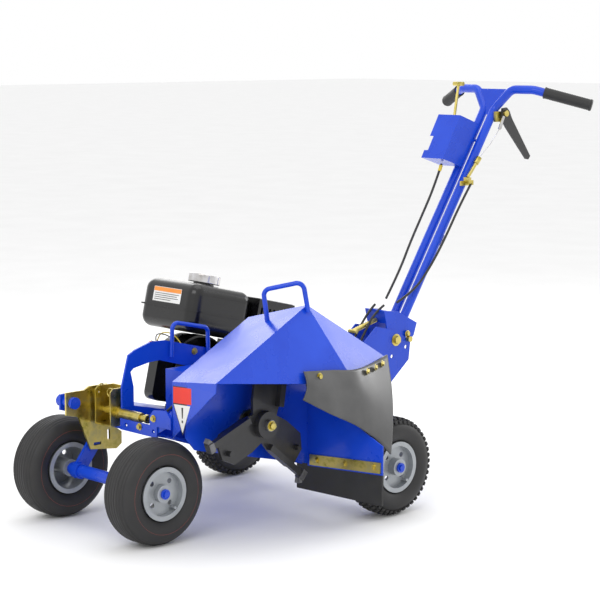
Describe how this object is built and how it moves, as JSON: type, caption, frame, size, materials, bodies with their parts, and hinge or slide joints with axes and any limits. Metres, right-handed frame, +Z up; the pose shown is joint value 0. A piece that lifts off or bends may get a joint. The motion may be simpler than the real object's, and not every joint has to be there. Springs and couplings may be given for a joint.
{
  "type": "walk-behind bed edger",
  "caption": "Walk-behind trench edger with a side-mounted cutting rotor under a folded hood, a small petrol engine, swinging front axle and height-set handlebar.",
  "frame": {"origin": "middle of the base of the machine's bounding box, on the ground", "axes": "+Z up, +Y rearward to the operator's grips, +X to the machine's left, the rotor side"},
  "size_m": [0.7814, 1.622, 1.1],
  "materials": {
    "tyre": "matte",
    "rim": "satin",
    "blue_paint": "gloss",
    "zinc": "satin",
    "rubber": "matte",
    "engine_grey": "satin",
    "engine_black": "gloss",
    "black_plastic": "matte",
    "red_plastic": "gloss",
    "chrome": "polished",
    "steel": "satin",
    "rotor_black": "semi-gloss",
    "tooth_steel": "satin",
    "cable_black": "matte"
  },
  "bodies": {
    "chassis": {"rear_axle": "blue_paint", "pivot_tube": "blue_paint", "lock_bracket": "zinc", "belly_plate": "blue_paint", "arch_plate": "blue_paint", "engine_deck": "blue_paint", "axle_brackets": "blue_paint", "rotor_wall": "blue_paint", "bearing_plate": "blue_paint", "frame_cheeks": "blue_paint", "hood": "blue_paint", "lift_handles": "blue_paint", "belt_guard": "blue_paint", "deflector": "blue_paint", "deflector_strip": "zinc", "rubber_skirt": "rubber", "rubber_flap": "rubber", "frame_bolts": "zinc", "crankcase": "engine_grey", "cylinder": "engine_grey", "recoil_start": "engine_black", "fuel_tank": "engine_black", "muffler": "engine_black", "air_cleaner": "black_plastic", "carburettor": "engine_black", "drive_belt": "rubber", "rotor_bearings": "zinc", "pivot_bolt": "zinc", "frame_cables": "cable_black"},
    "front_axle_swing": {"front_axle": "blue_paint", "quadrant_plate": "zinc"},
    "lock_pin": {"lock_pin": "zinc"},
    "rotor": {"rotor_shaft": "steel", "rotor_pulley": "steel", "rotor_arms": "rotor_black", "cutter_teeth": "tooth_steel"},
    "engine_drive": {"drive_pulley": "steel"},
    "idler_arm": {"idler_arm": "steel"},
    "idler_wheel": {"idler_pulley": "steel"},
    "handle": {"handlebar": "blue_paint", "grips": "rubber", "handle_base": "blue_paint", "control_box": "blue_paint", "stem_fittings": "zinc", "handle_cables": "cable_black"},
    "height_pin": {"height_pin": "zinc"},
    "clutch_lever": {"clutch_lever": "black_plastic"},
    "control_crank": {"control_crank": "zinc"},
    "fuel_cap": {"fuel_cap": "chrome"},
    "recoil_grip": {"recoil_grip": "black_plastic"},
    "engine_switch": {"engine_switch": "red_plastic"},
    "choke_lever": {"choke_lever": "black_plastic"},
    "front_left_wheel": {"front_left_tyre": "tyre", "front_left_rim": "rim"},
    "front_right_wheel": {"front_right_tyre": "tyre", "front_right_rim": "rim"},
    "rear_left_wheel": {"rear_left_tyre": "tyre", "rear_left_rim": "rim"},
    "rear_right_wheel": {"rear_right_tyre": "tyre", "rear_right_rim": "rim"}
  },
  "joints": [
    {"name": "front_axle_swing", "type": "hinge", "parent": "chassis", "child": "front_axle_swing", "pos_m": [-0.20725, -0.70604, 0.31], "axis": [1, 0, 0], "range_deg": [-25, 0]},
    {"name": "lock_pin_slide", "type": "slide", "parent": "chassis", "child": "lock_pin", "axis": [-1, 0, 0], "range_m": [0, 0.012]},
    {"name": "front_left_wheel_spin", "type": "hinge", "parent": "front_axle_swing", "child": "front_left_wheel", "pos_m": [0.08775, -0.68104, 0.13], "axis": [1, 0, 0], "continuous": true},
    {"name": "front_right_wheel_spin", "type": "hinge", "parent": "front_axle_swing", "child": "front_right_wheel", "pos_m": [-0.29475, -0.68104, 0.13], "axis": [1, 0, 0], "continuous": true},
    {"name": "rear_left_wheel_spin", "type": "hinge", "parent": "chassis", "child": "rear_left_wheel", "pos_m": [0.27575, -0.05604, 0.128], "axis": [1, 0, 0], "continuous": true},
    {"name": "rear_right_wheel_spin", "type": "hinge", "parent": "chassis", "child": "rear_right_wheel", "pos_m": [-0.33925, -0.05604, 0.128], "axis": [1, 0, 0], "continuous": true},
    {"name": "rotor_spin", "type": "hinge", "parent": "chassis", "child": "rotor", "pos_m": [0.18775, -0.41304, 0.274], "axis": [1, 0, 0], "continuous": true},
    {"name": "engine_drive_spin", "type": "hinge", "parent": "chassis", "child": "engine_drive", "pos_m": [-0.08725, -0.26104, 0.33], "axis": [1, 0, 0], "continuous": true},
    {"name": "clutch_lever_pull", "type": "hinge", "parent": "handle", "child": "clutch_lever", "pos_m": [0.00775, 0.69096, 1.008], "axis": [1, 0, 0], "range_deg": [0, 18], "stiffness_Nm_per_rad": 1.2, "springref_deg": -20.05},
    {"name": "idler_arm_swing", "type": "hinge", "parent": "chassis", "child": "idler_arm", "pos_m": [-0.08725, -0.38104, 0.212], "axis": [1, 0, 0], "range_deg": [-6.3, 0]},
    {"name": "idler_wheel_spin", "type": "hinge", "parent": "idler_arm", "child": "idler_wheel", "pos_m": [-0.08725, -0.31371, 0.23866], "axis": [1, 0, 0], "continuous": true},
    {"name": "handle_height", "type": "hinge", "parent": "chassis", "child": "handle", "pos_m": [-0.03225, 0.24596, 0.391], "axis": [1, 0, 0], "range_deg": [-15, 15]},
    {"name": "height_pin_pull", "type": "slide", "parent": "chassis", "child": "height_pin", "axis": [1, 0, 0], "range_m": [0, 0.012]},
    {"name": "control_crank_turn", "type": "hinge", "parent": "handle", "child": "control_crank", "pos_m": [-0.06625, 0.56996, 1.049], "axis": [0, 0.168, 0.9858], "range_deg": [-90, 90]},
    {"name": "fuel_cap_turn", "type": "hinge", "parent": "chassis", "child": "fuel_cap", "pos_m": [-0.21125, -0.26343, 0.58562], "axis": [0, 0.2334, 0.9724], "range_deg": [0, 120]},
    {"name": "recoil_pull", "type": "slide", "parent": "chassis", "child": "recoil_grip", "axis": [-0.2506, 0.9592, 0.1306], "range_m": [0, 0.5], "stiffness_N_per_m": 15, "springref_m": -0.2},
    {"name": "engine_switch_turn", "type": "hinge", "parent": "chassis", "child": "engine_switch", "pos_m": [-0.31725, -0.36263, 0.40375], "axis": [0, -0.9724, 0.2334], "range_deg": [0, 40]},
    {"name": "choke_lever_swing", "type": "hinge", "parent": "chassis", "child": "choke_lever", "pos_m": [-0.30925, -0.0764, 0.34943], "axis": [0, 0.9724, -0.2334], "range_deg": [0, 30]}
  ],
  "couplings": [
    {"joint": "engine_drive_spin", "follows": "rotor_spin", "ratio": 1.4474},
    {"joint": "idler_wheel_spin", "follows": "rotor_spin", "ratio": -2.75},
    {"joint": "idler_arm_swing", "follows": "clutch_lever_pull", "ratio": -0.35}
  ]
}
